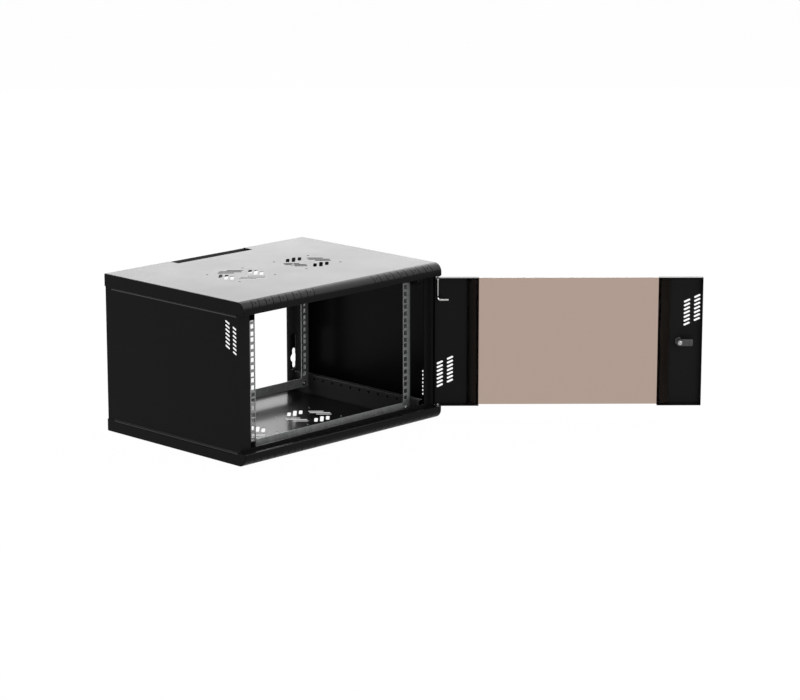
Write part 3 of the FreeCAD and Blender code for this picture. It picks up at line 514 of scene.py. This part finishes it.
camLook = {"reach": 0.029, "width": 0.0154, "thick": 0.0025, "square": 0.00602,
           "headShare": 0.99, "headSteps": 12, "tipShare": 0.5, "tipSteps": 8,
           "rim": 0.0006, "rimSteps": 3, "smoothAngle": 40}


def lockFrame(screwHeight):
    angle = -math.radians(findJoint("door_hinge")["range_deg"][0])  # from closed to the open place at rest
    inward = Vector((-math.sin(angle), math.cos(angle), 0))
    outboard = Vector((-math.cos(angle), -math.sin(angle), 0))
    low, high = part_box("cam_screw")
    seat = (low + high) / 2 - inward * screwHeight / 2
    turn = Matrix((outboard, Vector((0, 0, 1)), inward)).transposed().to_4x4()
    return seat, inward, turn


def makeCam(look):
    half, top = look["width"] / 2, look["thick"]
    cam = addBlock((-half, look["reach"]), (-half, half), (0.0, top))
    bevelEdges(cam, uprightAt(-half), half * look["headShare"], look["headSteps"])
    bevelEdges(cam, uprightAt(look["reach"]), half * look["tipShare"], look["tipSteps"])
    bevelEdges(cam, rimAt(top), look["rim"], look["rimSteps"])
    side = look["square"] / 2
    cutAway(cam, addBlock((-side, side), (-side, side), (-top, 2 * top)))
    smoothPiece(cam, look["smoothAngle"])
    return cam


def makeLock(look, screw):
    seat, inward, turn = lockFrame(screw["height"])
    cam = makeCam(look)
    putPiece(cam, "lockCam", Matrix.Translation(seat - inward * look["thick"]) @ turn, "lock_cam", "lock",
             "dark_steel")
    bpy.data.objects.remove(cam)
    head = makeDomedHead(screw)
    smoothPiece(head, screw["smoothAngle"])
    putPiece(head, "camScrew", Matrix.Translation(seat) @ turn, "cam_screw", "lock", "bright_steel")
    bpy.data.objects.remove(head)


makeLock(camLook, camScrewLook)
print("lock cam in place")


# coil spring on the hinge pin: a merged, smoothed copy of the spring that moves with the pin

coilLook = {"smoothAngle": 40}


def makePinCoil(look):
    coil = bpy.data.objects.new("pinCoil", nodes["pin_spring"].data.copy())
    scene.collection.objects.link(coil)
    selectOnly(coil)
    bpy.ops.object.mode_set(mode="EDIT")
    bpy.ops.mesh.select_all(action="SELECT")
    bpy.ops.mesh.remove_doubles(threshold=sameSpot)
    bpy.ops.object.mode_set(mode="OBJECT")
    smoothPiece(coil, look["smoothAngle"])
    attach(coil, "pin")
    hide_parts("pin_spring")
    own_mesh(coil)


makePinCoil(coilLook)
print("pin spring in place")


# floor, world and lamps

studioLook = {"floorSize": 40.0, "floorDrop": 0.0004, "floorColour": (0.6, 0.6, 0.6), "floorRough": 0.9,
              "floorGlow": 0.985, "ambient": 0.35}


def seenDirectly(tree):
    rays = addNode(tree, "ShaderNodeLightPath")
    seen = mathNode(tree, "MAXIMUM", rays.outputs["Is Camera Ray"], rays.outputs["Is Glossy Ray"])
    return mathNode(tree, "MAXIMUM", seen, rays.outputs["Is Transmission Ray"])


def buildFloor(look):
    bpy.ops.object.select_all(action="DESELECT")
    bpy.ops.mesh.primitive_plane_add(size=look["floorSize"], location=(0, 0, -look["floorDrop"]))
    floor = bpy.context.object
    floor.name = "studioFloor"
    bpy.ops.object.transform_apply(location=True)
    mat, tree, shader = newMaterial("paleFloor")
    setInputs(shader, Base_Color=(*look["floorColour"], 1), Roughness=look["floorRough"], Specular_IOR_Level=0.0)
    glow = setInputs(addNode(tree, "ShaderNodeEmission"), Strength=1.0)
    mix = addNode(tree, "ShaderNodeMixShader")
    tree.links.new(mathNode(tree, "MULTIPLY", seenDirectly(tree), look["floorGlow"]), mix.inputs["Fac"])
    tree.links.new(shader.outputs[0], mix.inputs[1])
    tree.links.new(glow.outputs[0], mix.inputs[2])
    tree.links.new(mix.outputs[0], tree.nodes["Material Output"].inputs["Surface"])
    floor.data.materials.append(mat)


def buildWorld(look):
    world = bpy.data.worlds.new("studioWorld")
    scene.world = world
    world.use_nodes = True
    tree = world.node_tree
    back = setInputs(tree.nodes["Background"], Color=(1, 1, 1, 1))
    strength = remap(tree, seenDirectly(tree), (0, 1), (look["ambient"], 1.0))
    tree.links.new(strength, back.inputs["Strength"])


lampPlan = {
    "backSoftbox": {"place": (3.6, 3.6, 1.5), "aim": (0.1, 0.0, 0.25), "size": (8.0, 2.8), "power": 214.0},
    "rightSoftbox": {"place": (3.25, -0.55, 2.6), "aim": (0.0, -0.1, 0.3), "size": (6.0, 2.4), "power": 280.0},
    "highSoftbox": {"place": (-0.9, 2.8, 2.8), "aim": (0.0, 0.0, 0.2), "size": (3.0, 2.4), "power": 110.0},
    "topSoftbox": {"place": (0.3, -0.6, 4.0), "aim": (0.3, -0.4, 0.0), "size": (2.4, 2.4), "power": 60.0},
    "frontFill": {"place": (-0.2, -4.4, 1.5), "aim": (0.1, 0.0, 0.17), "size": (2.4, 1.6), "power": 80.0},
}


def buildLamp(name, plan):
    lamp = bpy.data.lights.new(name, "AREA")
    lamp.shape = "RECTANGLE"
    lamp.size, lamp.size_y = plan["size"]
    lamp.energy = plan["power"]
    holder = bpy.data.objects.new(name, lamp)
    scene.collection.objects.link(holder)
    holder.location = plan["place"]
    holder.rotation_euler = (Vector(plan["aim"]) - Vector(plan["place"])).to_track_quat("-Z", "Y").to_euler()
    holder.visible_camera = False
    holder.visible_transmission = False


buildFloor(studioLook)
buildWorld(studioLook)
for name, plan in lampPlan.items():
    buildLamp(name, plan)
print("studio ready")


# camera at the photograph's viewing angle

cameraPlan = {"place": (-4.29706, -4.60382, 1.63093), "yaw": 45.551, "pitch": 13.069, "lens": 130.615,
              "sensor": 36.0, "farClip": 100.0}


def buildCamera(plan):
    cameraData = bpy.data.cameras.new("photoCamera")
    cameraData.sensor_fit = "HORIZONTAL"
    cameraData.sensor_width = plan["sensor"]
    cameraData.lens = plan["lens"]
    cameraData.clip_end = plan["farClip"]
    camera = bpy.data.objects.new("photoCamera", cameraData)
    scene.collection.objects.link(camera)
    camera.location = plan["place"]
    camera.rotation_euler = (math.radians(90 - plan["pitch"]), 0, -math.radians(plan["yaw"]))
    scene.camera = camera


buildCamera(cameraPlan)
print("camera in place")
